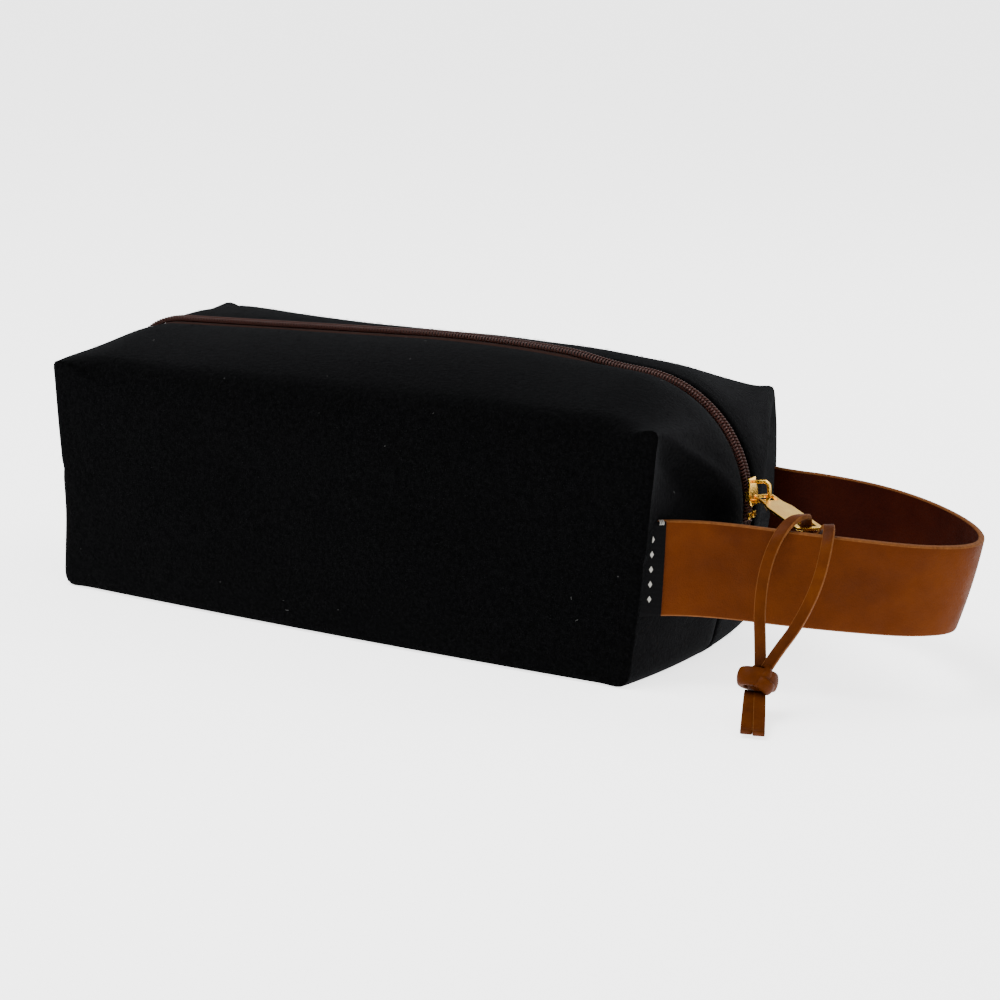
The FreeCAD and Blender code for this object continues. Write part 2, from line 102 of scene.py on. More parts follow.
class Nodes:
    """Short ways to build a node material."""

    def __init__(self, name):
        self.material = bpy.data.materials.new(name)
        self.material.use_nodes = True
        self.tree = self.material.node_tree
        self.shader = self.tree.nodes["Principled BSDF"]

    def add(self, kind, **values):
        """A node with some of its settings or unlinked inputs set."""
        node = self.tree.nodes.new(kind)
        for key, value in values.items():
            if hasattr(node, key):
                setattr(node, key, value)
            else:
                node.inputs[key.replace("_", " ")].default_value = value
        return node

    def link(self, source, target):
        """Joins an output to an input."""
        self.tree.links.new(source, target)

    def set(self, **values):
        """Constants on the shader's own sockets."""
        for key, value in values.items():
            self.shader.inputs[key.replace("_", " ")].default_value = value

    def drive(self, **sources):
        """Outputs linked to the shader's own sockets."""
        for key, source in sources.items():
            self.link(source, self.shader.inputs[key.replace("_", " ")])

    def place(self):
        """Coordinates that are fixed to the piece's own mesh, in metres."""
        return self.add("ShaderNodeTexCoord").outputs["Object"]

    def noise(self, vector, scale, detail=4.0, rough=0.55):
        """The noise factor at a scale per metre."""
        node = self.add("ShaderNodeTexNoise", Scale=scale, Detail=detail, Roughness=rough)
        self.link(vector, node.inputs["Vector"])
        return node.outputs["Fac"]

    def wave(self, vector, scale, direction, distortion, detail=2.0):
        """Bands across a direction."""
        node = self.add("ShaderNodeTexWave", Scale=scale, bands_direction=direction,
                        Distortion=distortion, Detail=detail)
        self.link(vector, node.inputs["Vector"])
        return node.outputs["Fac"]

    def cells(self, vector, scale):
        """The distance to the nearest of many scattered points."""
        node = self.add("ShaderNodeTexVoronoi", Scale=scale, feature="F1")
        self.link(vector, node.inputs["Vector"])
        return node.outputs["Distance"]

    def ramp(self, factor, *stops):
        """A colour ramp over (position, colour) stops."""
        node = self.add("ShaderNodeValToRGB")
        band = node.color_ramp
        while len(band.elements) < len(stops):
            band.elements.new(0.5)
        for element, (position, colour) in zip(band.elements, stops):
            element.position = position
            element.color = (*colour, 1.0)
        self.link(factor, node.inputs["Fac"])
        return node.outputs["Color"]

    def mix(self, factor, first, second, blend="MIX"):
        """A colour mix; each side is a socket or a colour."""
        node = self.add("ShaderNodeMix", data_type="RGBA", blend_type=blend)
        inputs = node.inputs
        for value, socket in ((factor, inputs[0]), (first, inputs[6]), (second, inputs[7])):
            if isinstance(value, bpy.types.NodeSocket):
                self.link(value, socket)
            elif isinstance(value, tuple):
                socket.default_value = (*value, 1.0)
            else:
                socket.default_value = value
        return node.outputs[2]

    def math(self, operation, first, second=0.0):
        """A math node; each side is a socket or a number."""
        node = self.add("ShaderNodeMath", operation=operation)
        for value, socket in ((first, node.inputs[0]), (second, node.inputs[1])):
            if isinstance(value, bpy.types.NodeSocket):
                self.link(value, socket)
            else:
                socket.default_value = value
        return node.outputs[0]

    def bump(self, height, distance, strength=1.0, below=None):
        """A bump from a height, on top of an earlier one if given."""
        node = self.add("ShaderNodeBump", Distance=distance, Strength=strength)
        self.link(height, node.inputs["Height"])
        if below is not None:
            self.link(below, node.inputs["Normal"])
        return node.outputs["Normal"]


def felt_material():
    """Black wool felt: matted fibres, darker tufts, a faint bloom and a few pale specks of lint."""
    m = Nodes("felt")
    place = m.place()
    fibres = m.noise(place, 2300.0, 5.0, 0.75)
    matted = m.noise(place, 620.0, 4.0, 0.6)
    cloud = m.noise(place, 26.0, 3.0)
    tone = m.ramp(fibres, (0.38, (0.0001, 0.0001, 0.0001)), (0.64, (0.0034, 0.0034, 0.0036)))
    tone = m.mix(m.math("MULTIPLY", cloud, 0.4), tone, (0.0012, 0.0012, 0.0013))
    tufts = m.ramp(matted, (0.36, (0.45, 0.45, 0.45)), (0.62, (1.0, 1.0, 1.0)))
    tone = m.mix(1.0, tone, tufts, "MULTIPLY")
    lint = m.ramp(m.cells(place, 95.0), (0.0, (1, 1, 1)), (0.035, (0, 0, 0)))
    few = m.ramp(m.noise(place, 60.0, 2.0), (0.56, (0, 0, 0)), (0.62, (1, 1, 1)))
    tone = m.mix(m.math("MULTIPLY", lint, few), tone, (0.07, 0.07, 0.067))
    m.set(Roughness=0.97, Specular_IOR_Level=0.0, Sheen_Weight=0.06, Sheen_Roughness=0.40)
    m.shader.inputs["Sheen Tint"].default_value = (0.62, 0.64, 0.68, 1.0)
    rough = m.bump(matted, 0.0005, 0.6)
    m.drive(Base_Color=tone, Normal=m.bump(fibres, 0.00025, 0.8, rough))
    return m.material


def lining_material():
    """Dark plain-woven cotton."""
    m = Nodes("lining_cotton")
    place = m.place()
    weave = m.math("MULTIPLY", m.wave(place, 700.0, "X", 0.4), m.wave(place, 700.0, "Z", 0.4))
    tone = m.mix(weave, (0.012, 0.012, 0.014), (0.045, 0.045, 0.05))
    tone = m.mix(m.math("MULTIPLY", m.noise(place, 60.0), 0.4), tone, (0.02, 0.02, 0.022))
    m.set(Roughness=0.88, Specular_IOR_Level=0.2, Sheen_Weight=0.08)
    m.drive(Base_Color=tone, Normal=m.bump(weave, 0.0002, 0.6))
    return m.material


def tape_material():
    """Dark brown zip tape with its fine ribs."""
    m = Nodes("zip_tape")
    place = m.place()
    weave = m.math("MULTIPLY", m.wave(place, 900.0, "Y", 0.3), m.wave(place, 520.0, "X", 0.6))
    tone = m.mix(weave, (0.009, 0.0026, 0.0014), (0.036, 0.0105, 0.0052))
    tone = m.mix(m.math("MULTIPLY", m.noise(place, 90.0), 0.5), tone, (0.020, 0.0065, 0.0035))
    m.set(Roughness=0.8, Specular_IOR_Level=0.08, Sheen_Weight=0.03)
    m.drive(Base_Color=tone, Normal=m.bump(weave, 0.0002, 0.7))
    return m.material


def coil_material():
    """Brown satin nylon with slightly worn, paler patches."""
    m = Nodes("zip_coil")
    place = m.place()
    tone = m.mix(m.noise(place, 700.0, 3.0), (0.016, 0.0036, 0.0022), (0.042, 0.0100, 0.0058))
    tone = m.mix(m.math("MULTIPLY", m.noise(place, 120.0), 0.35), tone, (0.060, 0.0170, 0.0100))
    rough = m.ramp(m.noise(place, 500.0), (0.3, (0.36, 0.36, 0.36)), (0.8, (0.6, 0.6, 0.6)))
    m.set(Specular_IOR_Level=0.16)
    m.drive(Base_Color=tone, Roughness=rough, Normal=m.bump(m.noise(place, 2600.0, 3.0), 0.00006, 0.5))
    return m.material


def brass_material():
    """Pale polished brass with fine scratches and soft wear."""
    m = Nodes("brass")
    place = m.place()
    tone = m.ramp(m.noise(place, 240.0, 5.0), (0.25, (0.86, 0.44, 0.040)), (0.7, (1.0, 0.62, 0.085)))
    scratch = m.wave(place, 420.0, "DIAGONAL", 6.0, 3.0)
    rough = m.ramp(scratch, (0.0, (0.20, 0.20, 0.20)), (1.0, (0.31, 0.31, 0.31)))
    m.set(Metallic=1.0)
    m.drive(Base_Color=tone, Roughness=rough, Normal=m.bump(m.noise(place, 1500.0, 3.0), 0.00002, 0.3))
    return m.material


def leather_material(name, deep, mid, pale, grain=1.0, roughness=(0.52, 0.70), cloud_scale=34.0):
    """Oiled leather: cloudy pull-up colour, pores and creases."""
    m = Nodes(name)
    place = m.place()
    cloud = m.noise(place, cloud_scale, 5.0, 0.6)
    tone = m.ramp(cloud, (0.30, deep), (0.52, mid), (0.78, pale))
    pores = m.cells(place, 1500.0)
    dark = m.ramp(pores, (0.0, (0.45, 0.45, 0.45)), (0.28, (1, 1, 1)))
    tone = m.mix(0.35 * grain, tone, dark, "MULTIPLY")
    low, high = roughness
    rough = m.ramp(m.noise(place, 160.0, 4.0), (0.25, (low,) * 3), (0.75, (high,) * 3))
    crease = m.bump(m.noise(place, 220.0, 6.0, 0.65), 0.0005, 0.35 * grain)
    m.set(Specular_IOR_Level=0.04)
    m.drive(Base_Color=tone, Roughness=rough, Normal=m.bump(pores, 0.00016, 0.55 * grain, crease))
    return m.material


def leather_edge_material():
    """The cut edge: paler and fibrous, with darker burnished patches."""
    m = Nodes("leather_edge")
    place = m.place()
    fibre = m.noise(place, 900.0, 6.0, 0.7)
    tone = m.ramp(fibre, (0.25, (0.060, 0.016, 0.002)), (0.6, (0.12, 0.039, 0.006)),
                  (0.85, (0.18, 0.072, 0.016)))
    m.set(Roughness=0.7, Specular_IOR_Level=0.10)
    m.drive(Base_Color=tone, Normal=m.bump(fibre, 0.0002, 0.8))
    return m.material


def label_material():
    """Black woven satin ribbon."""
    m = Nodes("label_weave")
    warp = m.wave(m.place(), 650.0, "Z", 0.2)
    tone = m.mix(warp, (0.0004, 0.0004, 0.0005), (0.0026, 0.0026, 0.0030))
    m.set(Roughness=0.65, Specular_IOR_Level=0.03)
    m.drive(Base_Color=tone, Normal=m.bump(warp, 0.00012, 0.8))
    return m.material


def yarn_material(name, low, high):
    """Spun thread."""
    m = Nodes(name)
    twist = m.noise(m.place(), 2400.0, 3.0)
    m.set(Roughness=0.75, Specular_IOR_Level=0.12, Sheen_Weight=0.05)
    m.drive(Base_Color=m.mix(twist, low, high), Normal=m.bump(twist, 0.0001, 0.6))
    return m.material


def floor_material():
    """Plain pale sweep."""
    m = Nodes("floor")
    m.set(Roughness=0.9, Specular_IOR_Level=0.05, Emission_Strength=2.4)
    m.shader.inputs["Base Color"].default_value = (0.93, 0.93, 0.93, 1.0)
    m.shader.inputs["Emission Color"].default_value = (1.0, 1.0, 1.0, 1.0)
    return m.material


FELT = felt_material()
LINING = lining_material()
TAPE = tape_material()
COIL = coil_material()
BRASS = brass_material()
STRAP_GRAIN = leather_material("strap_grain", (0.044, 0.0084, 0.0002), (0.060, 0.0122, 0.0003),
                               (0.080, 0.0180, 0.0005))
STRAP_FLESH = leather_material("strap_flesh", (0.012, 0.0012, 0.0002), (0.019, 0.0021, 0.0003),
                               (0.029, 0.0040, 0.0006), grain=1.3, roughness=(0.55, 0.75))
LACE_GRAIN = leather_material("lace_grain", (0.036, 0.0074, 0.0003), (0.055, 0.0120, 0.0005),
                              (0.078, 0.0190, 0.0009), grain=0.8, roughness=(0.40, 0.60),
                              cloud_scale=90.0)
LEATHER_EDGE = leather_edge_material()
LABEL = label_material()
DARK_THREAD = yarn_material("dark_thread", (0.004, 0.004, 0.005), (0.02, 0.02, 0.022))
LINT = yarn_material("lint", (0.03, 0.03, 0.03), (0.12, 0.12, 0.115))
PALE_THREAD = yarn_material("pale_thread", (0.17, 0.165, 0.15), (0.36, 0.35, 0.32))


# -------------------- mesh helpers


def new_mesh(name, verts, faces, materials, slots=None, smooth=True):
    """A mesh piece from points in millimetres."""
    mesh = bpy.data.meshes.new(name)
    mesh.from_pydata([tuple(c * MM for c in v) for v in verts], [], faces)
    for material in materials:
        mesh.materials.append(material)
    if slots is not None:
        mesh.polygons.foreach_set("material_index", slots)
    mesh.polygons.foreach_set("use_smooth", [smooth] * len(mesh.polygons))
    mesh.update()
    return link(bpy.data.objects.new(name, mesh))


def fix_normals(obj, weld=0.0):
    """Joins doubled points closer than the weld and turns every face outwards."""
    work = bmesh.new()
    work.from_mesh(obj.data)
    if weld:
        bmesh.ops.remove_doubles(work, verts=work.verts, dist=weld * MM)
    bmesh.ops.recalc_face_normals(work, faces=work.faces)
    work.to_mesh(obj.data)
    work.free()


def unit(vector):
    """The vector at length one."""
    return vector / max(np.linalg.norm(vector), 1e-9)


def tangent_at(points, index):
    """The direction of a line of points at one of them."""
    return unit(points[min(index + 1, len(points) - 1)] - points[max(index - 1, 0)])


def sweep(rings, closed_ends=True):
    """Verts and quads of a tube from its rings of points, one for each place on the path."""
    verts = [point for ring in rings for point in ring]
    faces = []
    count = len(rings[0])
    for row in range(len(rings) - 1):
        low = row * count
        high = low + count
        for col in range(count):
            right = (col + 1) % count
            faces.append((low + col, low + right, high + right, high + col))
    if closed_ends:
        faces.append(tuple(range(count))[::-1])
        last = (len(rings) - 1) * count
        faces.append(tuple(range(last, last + count)))
    return verts, faces


def grid_faces(rows, width, base=0):
    """Quads over a grid of points that starts at a base number."""
    faces = []
    for row in range(rows - 1):
        for col in range(width - 1):
            a = base + row * width + col
            faces.append((a, a + 1, a + width + 1, a + width))
    return faces


def tube(points, radius, sides=6, closed_ends=True):
    """Verts and quads of a thin round thread along some points."""
    points = [np.array(point, float) for point in points]
    turns = [2 * math.pi * k / sides for k in range(sides)]
    rings = []
    for index, point in enumerate(points):
        first = unit(np.cross(tangent_at(points, index), (0.31, 0.17, 0.93)))
        second = np.cross(tangent_at(points, index), first)
        rings.append([point + (first * math.cos(a) + second * math.sin(a)) * radius for a in turns])
    return sweep(rings, closed_ends)


def thicken(piece, thickness, offset=-1.0):
    """Gives a sheet its thickness, in millimetres: inwards, or both ways at offset 0."""
    solid = piece.modifiers.new("thickness", "SOLIDIFY")
    solid.thickness = thickness * MM
    solid.offset = offset


def smooth_step(low, high, value):
    """0 below low, 1 above high and a smooth change between."""
    share = np.clip((value - low) / (high - low), 0.0, 1.0)
    return share * share * (3 - 2 * share)


def rounded_box_section(width, thick, rounding, steps=3):
    """A flat band's outline, as (across, out) pairs with rounded corners."""
    across = width / 2 - rounding
    out = thick / 2 - rounding
    corners = ((across, out, 0.0), (-across, out, 90.0), (-across, -out, 180.0), (across, -out, 270.0))
    points = []
    for centre_x, centre_y, start in corners:
        for step in range(steps + 1):
            angle = math.radians(start + 90.0 * step / steps)
            points.append((centre_x + rounding * math.cos(angle),
                           centre_y + rounding * math.sin(angle)))
    return points


def fill_long_sides(outline, parts, longest=2.0):
    """The outline with extra points along its wide sides, so that the band can curve across."""
    filled = []
    for index, (a, b) in enumerate(outline):
        filled.append((a, b))
        next_a, next_b = outline[(index + 1) % len(outline)]
        if abs(next_a - a) > longest:
            filled += [(a + (next_a - a) * k / parts, b + (next_b - b) * k / parts)
                       for k in range(1, parts)]
    return filled


def thong(name, path, wide, width, thick, rounding, edge):
    """A flat leather band along a path, its width along one direction, with its sides as cut edges."""
    outline = rounded_box_section(width, thick, rounding)
    rings = []
    for index, point in enumerate(path):
        tangent = tangent_at(path, index)
        across = unit(wide - tangent * np.dot(wide, tangent))
        out = np.cross(tangent, across)
        rings.append([point + across * a + out * b for a, b in outline])
    verts, faces = sweep(rings)
    count = len(outline)
    slots = []
    for i in range(len(faces) - 2):
        ends = (outline[i % count], outline[(i + 1) % count])
        slots.append(1 if all(abs(across) > edge for across, _ in ends) else 0)
    piece = new_mesh(name, verts, faces, [LACE_GRAIN, LEATHER_EDGE], slots + [0, 0])
    fix_normals(piece)
    return piece


def spline_points(route, resolution=10):
    """Points read from the smooth NURBS line whose control points are the route (millimetres)."""
    curve = bpy.data.curves.new("route", "CURVE")
    curve.dimensions = "3D"
    curve.resolution_u = resolution
    spline = curve.splines.new("NURBS")
    spline.points.add(len(route) - 1)
    for point, place in zip(spline.points, route):
        point.co = (place[0] * MM, place[1] * MM, place[2] * MM, 1.0)
    spline.order_u = 3
    spline.use_endpoint_u = True
    holder = bpy.data.objects.new("route", curve)
    mesh = bpy.data.meshes.new_from_object(holder)
    points = [np.array(vertex.co) / MM for vertex in mesh.vertices]
    bpy.data.objects.remove(holder)
    bpy.data.curves.remove(curve)
    bpy.data.meshes.remove(mesh)
    return points


# -------------------- lace on the pull tab

LACE_WIDTH = 4.4
LACE_THICK = 2.0
LACE_LEFT = [(184.3, -25.0, 65.2), (184.5, -25.7, 69.3), (184.8, -31.4, 71.0),
             (182.8, -37.6, 70.4), (180.6, -43.8, 66.0), (178.5, -48.2, 57.4),
             (177.7, -51.2, 47), (178.8, -54.5, 36), (181.6, -58.8, 26.0), (183.6, -62.3, 18.0)]
LACE_RIGHT = [(184.3, -25.0, 65.2), (185.6, -25.2, 61.5), (191.2, -28.4, 62.0), (196.2, -33.2, 69.6),
              (199.2, -40.4, 69.6), (200.2, -45.6, 62), (199.5, -48.8, 52), (197.0, -52, 42),
              (193.4, -55.6, 32.6), (188.9, -59.6, 24.6), (186.0, -62.6, 18.0)]
KNOT_CENTRE = np.array((184.0, -65.0, 14.0))
TAIL_START = np.array((184.4, -68.4, 10.0))
TAIL_END = np.array((193.6, -92.4, 2.0))


def lace_strand(name, route, lean):
    """One flat strand of the lace, from the slot in the tab to the knot."""
    path = spline_points(route)
    wide = np.array((1.0, lean, 0.12))
    return thong(name, path, wide, LACE_WIDTH, LACE_THICK, rounding=0.55, edge=1.9), path


def path_length(path):
    """The length of a line of points."""
    return sum(np.linalg.norm(b - a) for a, b in zip(path, path[1:]))


def knot_band(centre, axis, radii, width, thick, start_deg, sweep_deg, rise):
    """One wrap of the thong round the knot's core, with its ends tucked in."""
    axis = unit(np.array(axis, float))
    side = unit(np.cross(axis, np.array((0.3, 0.2, 1.0))))
    other = np.cross(axis, side)
    steps = 48
    path = []
    outward = []
    for step in range(steps + 1):
        share = step / steps
        angle = math.radians(start_deg + sweep_deg * share)
        tucked = 1.0 - 0.30 * abs(2 * share - 1) ** 8
        direction = (side * math.cos(angle) * radii[0] + other * math.sin(angle) * radii[1]) * tucked
        path.append(centre + direction + axis * rise * (share - 0.5))
        outward.append(unit(direction))
    outline = fill_long_sides(rounded_box_section(width, thick, 0.8, 4), 6)
    rings = []
    for index, point in enumerate(path):
        tangent = tangent_at(path, index)
        out = unit(outward[index] - tangent * np.dot(outward[index], tangent))
        across = np.cross(tangent, out)
        rings.append([point + across * a + out * (b - 0.45 * a * a / width) for a, b in outline])
    return sweep(rings)


def lump(centre, radii):
    """A closed rounded core."""
    rows = 14
    sides = 22
    pole = np.array((0, 0, radii[2]))
    verts = [centre + pole]
    for row in range(1, rows):
        polar = math.pi * row / rows
        for k in range(sides):
            turn = 2 * math.pi * k / sides
            verts.append(centre + np.array((radii[0] * math.sin(polar) * math.cos(turn),
                                            radii[1] * math.sin(polar) * math.sin(turn),
                                            radii[2] * math.cos(polar))))
    verts.append(centre - pole)
    faces = [(0, 1 + k, 1 + (k + 1) % sides) for k in range(sides)]
    for row in range(rows - 2):
        for k in range(sides):
            a = 1 + row * sides + k
            b = 1 + row * sides + (k + 1) % sides
            faces.append((a, a + sides, b + sides, b))
    last = len(verts) - 1
    faces += [(last, last - sides + (k + 1) % sides, last - sides + k) for k in range(sides)]
    return verts, faces


def merge(parts):
    """Several (verts, faces) lists as one."""
    verts = []
    faces = []
    for some_verts, some_faces in parts:
        base = len(verts)
        verts.extend(some_verts)
        faces.extend(tuple(i + base for i in face) for face in some_faces)
    return verts, faces


def lace_knot():
    """An overhand knot in the doubled thong: a full core, a broad wrap and two turns that cross it."""
    broad = knot_band(KNOT_CENTRE + (0.0, -0.6, 0.5), (0.10, -0.50, -0.86), (7.3, 4.9),
                      width=7.2, thick=2.5, start_deg=80, sweep_deg=352, rise=1.2)
    crossing = knot_band(KNOT_CENTRE + (-0.5, -0.9, 0.6), (-0.42, -0.50, -0.76), (7.5, 5.5),
                         width=5.0, thick=2.2, start_deg=20, sweep_deg=210, rise=0.8)
    neck = knot_band(KNOT_CENTRE + (0.6, 0.2, 2.4), (0.30, 0.25, -0.92), (4.9, 3.7),
                     width=4.6, thick=2.2, start_deg=150, sweep_deg=340, rise=0.6)
    parts = [lump(KNOT_CENTRE + (0.0, -0.4, 0.0), (6.4, 4.3, 4.9)), broad, crossing, neck]
    verts, faces = merge(parts)
    piece = new_mesh("lace_knot_piece", verts, faces, [LACE_GRAIN])
    fix_normals(piece)
    return piece


def lace_tails():
    """The two cut ends of the thong, side by side below the knot."""
    along = unit(TAIL_END - TAIL_START)
    level = unit(np.cross((0, 0, 1.0), along))
    tails = []
    for name, side, reach in (("lace_tail_left", 1, 0.0), ("lace_tail_right", -1, -0.7)):
        length = np.linalg.norm(TAIL_END - TAIL_START) + reach
        path = []
        for step in range(15):
            share = step / 14
            spread = side * (1.7 + 0.62 * share ** 0.6)
            sag = -0.5 * math.sin(math.pi * share) + 0.25 * side * math.sin(math.pi * share)
            drop = np.array((0, 0, sag + 0.1))
            path.append(TAIL_START + along * length * share + level * spread + drop)
        tails.append(thong(name, path, level, LACE_WIDTH + 0.2, LACE_THICK, rounding=0.5, edge=2.0))
    return tails


left_strand, left_path = lace_strand("lace_left", LACE_LEFT, 0.25)
right_strand, right_path = lace_strand("lace_right", LACE_RIGHT, 0.15)
knot = lace_knot()
tails = lace_tails()
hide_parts("lace_strand_left")
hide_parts("lace_strand_right")
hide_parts("lace_knot")
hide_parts("lace_tails")
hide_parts("lace_tails")
for piece in (left_strand, right_strand, knot, *tails):
    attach(piece, "lace")
for strand, path, group in ((left_strand, left_path, [knot, tails[0]]),
                            (right_strand, right_path, [tails[1]])):
    path_length(path) * MM
    [tuple(point * MM) for point in path]
    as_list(group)


# -------------------- the pouch's soft form

HALF_LENGTH = 132.0
HALF_DEPTH = 63.0
SEAM_HEIGHT = 50.0
END_REACH = 152.0
LEFT_REACH = 146.0
BEND_RADIUS = 52.0
LEFT_BEND_RADIUS = 34.0
SLOT_HALF = 5.4
LINING_SLOT_HALF = 8.2
LINING_INSET = 4.2
LINING_THICK = 0.5
FELT_THICK = 2.8
COUNT_ALONG = 132
COUNT_LOW = 22
COUNT_HIGH = 30
ARC_STEPS = 16


def rounded_outline(corners, radii):
    """A closed outline of straight sides and arcs: for each corner its arc's points, start to end."""
    arcs = []
    for index, corner in enumerate(corners):
        before = unit(corners[index - 1] - corner)
        after = unit(corners[(index + 1) % len(corners)] - corner)
        half = math.acos(np.clip(np.dot(before, after), -1, 1)) / 2
        towards = unit(before + after)
        centre = corner + towards * (radii[index] / math.sin(half))
        start = corner + before * (radii[index] / math.tan(half)) - centre
        stop = corner + after * (radii[index] / math.tan(half)) - centre
        first = math.atan2(start[1], start[0])
        turn = math.atan2(start[0] * stop[1] - start[1] * stop[0], np.dot(start, stop))
        angles = [first + turn * k / ARC_STEPS for k in range(ARC_STEPS + 1)]
        arcs.append([centre + radii[index] * np.array((math.cos(a), math.sin(a))) for a in angles])
    return arcs


def resample(points, count):
    """The same line as count + 1 evenly spaced points."""
    points = np.array(points)
    steps = np.concatenate(([0.0], np.cumsum(np.linalg.norm(np.diff(points, axis=0), axis=1))))
    wanted = np.linspace(0, steps[-1], count + 1)
    return np.stack([np.interp(wanted, steps, points[:, axis]) for axis in (0, 1)], axis=1)


def cut_at_height(points, height):
    """Splits a rising or falling line of points where it crosses a height."""
    for index in range(1, len(points)):
        low, high = points[index - 1][1], points[index][1]
        if (low - height) * (high - height) <= 0 and low != high:
            share = (height - low) / (high - low)
            cross = points[index - 1] + (points[index] - points[index - 1]) * share
            return list(points[:index]) + [cross], [cross] + list(points[index:])
    raise ValueError("the line never reaches that height")


def outline_parts(corners, radii):
    """The outline as its six runs: base, right end low and high, top, left end high and low."""
    arcs = rounded_outline([np.array(c, float) for c in corners], radii)
    base_left, base_right, right_seam, right_top, crown, left_top, left_seam = arcs
    middle = ARC_STEPS // 2
    base = base_left[middle:] + base_right[:middle + 1]
    right = base_right[middle:] + right_seam + right_top[:middle + 1]
    top = right_top[middle:] + crown + left_top[:middle + 1]
    left = left_top[middle:] + left_seam + base_left[:middle + 1]
    right_low, right_high = cut_at_height(right, SEAM_HEIGHT)
    left_high, left_low = cut_at_height(left, SEAM_HEIGHT)
    runs = ((base, COUNT_ALONG), (right_low, COUNT_LOW), (right_high, COUNT_HIGH), (top, COUNT_ALONG),
            (left_high, COUNT_HIGH), (left_low, COUNT_LOW))
    return [resample(points, count) for points, count in runs]


MIDDLE_CORNERS = [(-LEFT_REACH + 11, 0), (END_REACH - 14, 0), (END_REACH, SEAM_HEIGHT),
                  (END_REACH, 111.0), (35, 117.4), (-LEFT_REACH, 105.0), (-LEFT_REACH, SEAM_HEIGHT)]
MIDDLE_RADII = [10, 10, 60, BEND_RADIUS, 600, LEFT_BEND_RADIUS, 60]
SIDE_CORNERS = {
    -1: [(-131, 0), (130, 0), (134, SEAM_HEIGHT + 4), (136.5, 103), (15, 97.5), (-138.6, 95.8),
         (-131.2, 38)],
    1: [(-131, 0), (131, 0), (139.4, SEAM_HEIGHT + 16), (134.0, 100.5), (15, 100), (-132, 104),
        (-131, SEAM_HEIGHT)],
}
SIDE_RADII = [5, 5, 160, 2.2, 600, 2.2, 160]
MIDDLE_PARTS = outline_parts(MIDDLE_CORNERS, MIDDLE_RADII)
SIDE_PARTS = {side: outline_parts(corners, SIDE_RADII) for side, corners in SIDE_CORNERS.items()}
BASE, RIGHT_LOW, RIGHT_HIGH, TOP, LEFT_HIGH, LEFT_LOW = range(6)


def inward_directions(parts):
    """The direction into the pouch at every point of an outline's runs."""
    ring = np.concatenate([run[:-1] for run in parts])
    ahead = np.roll(ring, -1, axis=0) - np.roll(ring, 1, axis=0)
    inward = np.stack((-ahead[:, 1], ahead[:, 0]), axis=1)
    inward /= np.linalg.norm(inward, axis=1)[:, None]
    result = []
    first = 0
    for run in parts:
        places = np.arange(first, first + len(run)) % len(ring)
        result.append(inward[places])
        first += len(run) - 1
    return result


MIDDLE_INWARD = inward_directions(MIDDLE_PARTS)
SIDE_INWARD = {side: inward_directions(parts) for side, parts in SIDE_PARTS.items()}

TOP_FOLD = 10.0
BASE_FOLD = 0.9
BASE_BELLY = 0.05
FOLD_STEPS = 9
EAR_REACH = 24.0
RIGHT_HOLLOW = {-1: 6.5, 1: 4.5}
LEFT_HOLLOW = 3.0
SEAM_DEPTH = 1.5
SEAM_SPREAD = 1.9


def depth_stations():
    """Distances from the zipper plane, from 0 to the side wall, as (y, fold angle) pairs."""
    near = (0.0, 2.8, SLOT_HALF, SLOT_HALF + 0.5, SLOT_HALF + 1.2, LINING_SLOT_HALF)
    stations = [(y, 0.0) for y in near]
    flat = HALF_DEPTH - TOP_FOLD
    for step in range(1, 16):
        stations.append((LINING_SLOT_HALF + (flat - LINING_SLOT_HALF) * step / 15, 0.0))
    for step in range(1, FOLD_STEPS + 1):
        angle = math.pi / 2 * step / FOLD_STEPS
        stations.append((flat + TOP_FOLD * math.sin(angle), angle))
    return stations


STATIONS = depth_stations()


def hash_wave(x, y, z, scale, seed):
    """A smooth, repeatable wobble between about -1 and 1, from a few crossed waves."""
    total = 0.0
    for k in range(4):
        a = seed * 1.7 + k * 2.3
        direction = (math.cos(a * 3.1), math.sin(a * 2.3), math.cos(a * 1.3 + 1))
        phase = x * direction[0] + y * direction[1] + z * direction[2]
        total += math.sin(phase / scale * (1 + 0.37 * k) + a * 5.0)
    return total / 4


def crease_dent(share, depth_share, depth):
    """How far the end falls in below the fold that runs from the ear down to the zip's foot."""
    line = 0.16 + 0.84 * depth_share ** 0.82
    strength = (4.0 * depth_share * (1 - depth_share)) ** 0.8
    strength *= smooth_step(0.15, 0.42, depth_share)
    fall = smooth_step(-0.02, 0.17, line - share)
    recover = smooth_step(0.20, 0.85, line - share)
    lip = 0.24 * math.exp(-((share - line - 0.05) / 0.06) ** 2)
    return depth * strength * (fall * (1 - 0.45 * recover) - lip) * smooth_step(1.0, 0.85, share)


def end_hollow(run, share, q, side):
    """How far in from its plain outline an end of the pouch lies at one point."""
    if run == RIGHT_HIGH:
        return crease_dent(share, q, RIGHT_HOLLOW[side])
    if run == LEFT_HIGH:
        return crease_dent(1 - share, q, LEFT_HOLLOW)
    if run == RIGHT_LOW:
        join = crease_dent(0.0, q, RIGHT_HOLLOW[side])
        return join * share ** 1.5 + 1.6 * math.sin(math.pi * share) * (1 - q * q)
    return crease_dent(0.0, q, LEFT_HOLLOW) * (1 - share) ** 1.5


def surface_wave(x, y, z):
    """The felt's gentle unevenness, in millimetres."""
    return 0.75 * hash_wave(x, y, z, 24.0, 3.0) + 0.22 * hash_wave(x, y, z, 9.0, 7.0)


